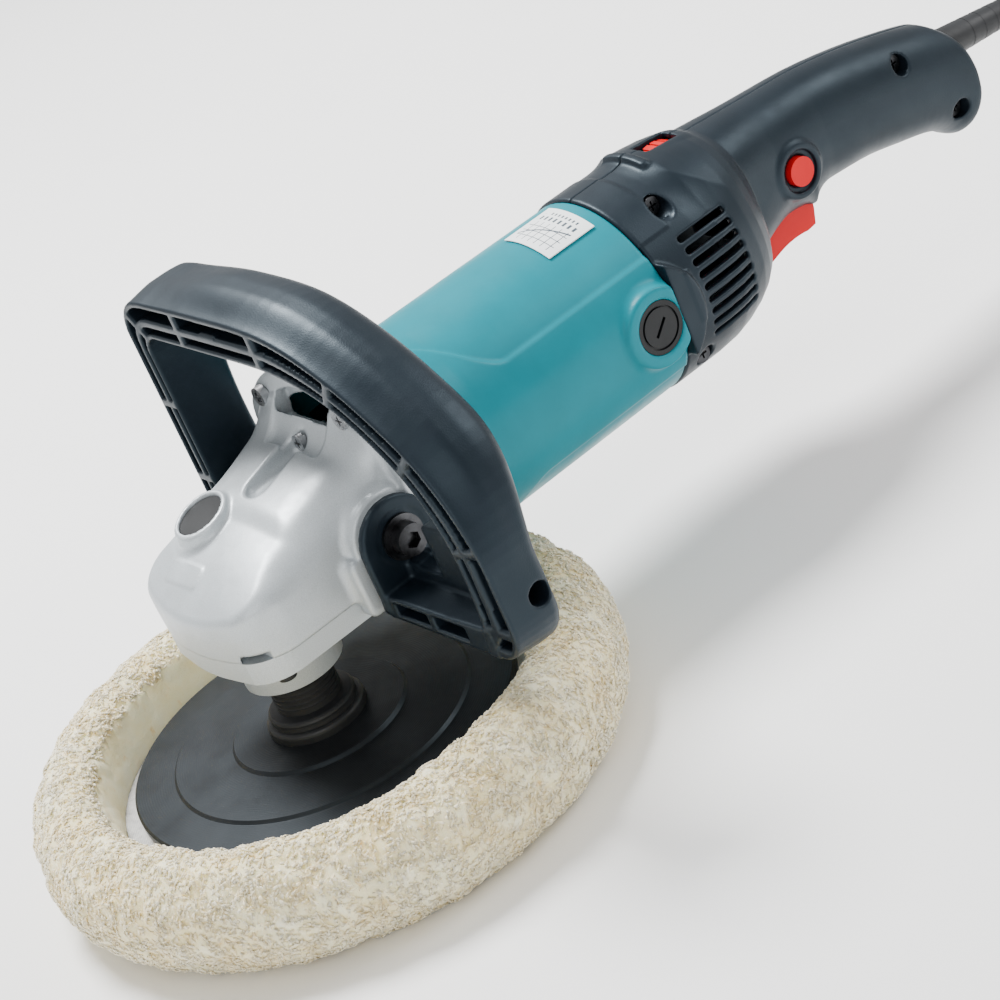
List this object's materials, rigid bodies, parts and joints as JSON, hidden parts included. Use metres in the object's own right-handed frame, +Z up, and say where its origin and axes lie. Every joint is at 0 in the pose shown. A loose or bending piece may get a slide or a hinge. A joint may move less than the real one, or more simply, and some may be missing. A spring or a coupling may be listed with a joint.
{
  "type": "rotary polisher",
  "caption": "Corded rotary polisher: wool pad on a rubber plate, right-angle gear head with loop handle, barrel motor, closed rear grip with trigger, lock button and speed dial.",
  "frame": {"origin": "on the spindle axis at the wool pad's polishing face", "axes": "+Z up along the spindle, +Y from the spindle towards the rear grip, +X to the side with the lock button"},
  "size_m": [0.272, 0.8462, 0.2135],
  "materials": {
    "wool": "fluffy",
    "cloth": "woven",
    "hook_tape": "matt",
    "black_rubber": "matt",
    "steel": "ground",
    "gear_steel": "machined",
    "screw_steel": "blackened",
    "bronze": "sintered",
    "casting": "painted silver",
    "cover_casting": "painted silver",
    "black_plastic": "matt",
    "dark_plastic": "fine texture",
    "teal_plastic": "satin",
    "label": "satin film",
    "laminations": "stacked sheet",
    "copper": "enamelled",
    "brass": "satin",
    "carbon": "matt",
    "red_plastic": "satin",
    "potting": "cast"
  },
  "bodies": {
    "tool": {"spindle_bearing": "steel", "spindle_bush": "bronze", "bearing_box": "cover_casting", "box_screws": "screw_steel", "gear_housing": "casting", "head_screws": "screw_steel", "shaft_lock_spring": "steel", "loop_handle": "dark_plastic", "loop_bolts": "screw_steel", "loop_washers": "steel", "motor_housing": "teal_plastic", "chart_label": "label", "fan_baffle": "black_plastic", "front_bearing": "steel", "rear_bearing": "steel", "bearing_cup": "black_rubber", "stator_core": "laminations", "field_coils": "copper", "brush_holders": "brass", "carbon_brushes": "carbon", "brush_springs": "steel", "brush_caps": "black_plastic", "handle_left": "dark_plastic", "handle_right": "dark_plastic", "handle_screws": "screw_steel", "switch_body": "black_plastic", "trigger_pin": "steel", "dial_base": "black_plastic", "speed_controller": "potting", "cord_clamp": "black_plastic", "clamp_screws": "screw_steel", "cord_guard": "black_rubber", "power_cord": "black_rubber", "cord_coil": "black_rubber", "cord_tail": "black_rubber", "plug_body": "black_rubber", "plug_pins": "brass"},
    "pad_drive": {"wool_pad": "wool", "wool_backing": "cloth", "hook_disc": "hook_tape", "rubber_plate": "black_rubber", "lock_nut": "steel", "drive_hub": "black_rubber", "spindle": "steel", "bevel_gear": "gear_steel"},
    "armature": {"pinion": "gear_steel", "armature_shaft": "steel", "armature_core": "laminations", "armature_winding": "copper", "commutator": "copper", "fan": "black_plastic"},
    "shaft_lock": {"shaft_lock_button": "black_plastic", "shaft_lock_pin": "steel"},
    "trigger": {"trigger": "red_plastic"},
    "lock_button": {"lock_button": "red_plastic"},
    "speed_dial": {"speed_dial": "red_plastic"}
  },
  "joints": [
    {"name": "spindle_spin", "type": "hinge", "parent": "tool", "child": "pad_drive", "pos_m": [0, 0, 0.06], "axis": [0, 0, 1], "continuous": true},
    {"name": "armature_spin", "type": "hinge", "parent": "tool", "child": "armature", "pos_m": [0, 0.13, 0.1085], "axis": [0, 1, 0], "continuous": true},
    {"name": "shaft_lock_press", "type": "slide", "parent": "tool", "child": "shaft_lock", "axis": [0, 0, -1], "range_m": [0, 0.004], "stiffness_N_per_m": 400, "springref_m": -0.001, "deforming": ["shaft_lock_spring"]},
    {"name": "trigger_pull", "type": "hinge", "parent": "tool", "child": "trigger", "pos_m": [0, 0.283, 0.0945], "axis": [1, 0, 0], "range_deg": [0, 7], "stiffness_Nm_per_rad": 1.2, "springref_deg": -2.86},
    {"name": "lock_press", "type": "slide", "parent": "tool", "child": "lock_button", "axis": [-1, 0, 0], "range_m": [0, 0.003], "stiffness_N_per_m": 300, "springref_m": -0.001},
    {"name": "dial_turn", "type": "hinge", "parent": "tool", "child": "speed_dial", "pos_m": [0, 0.2488, 0.1371], "axis": [1, 0, 0], "range_deg": [-130, 130]}
  ],
  "couplings": [
    {"joint": "armature_spin", "follows": "spindle_spin", "ratio": 4}
  ]
}
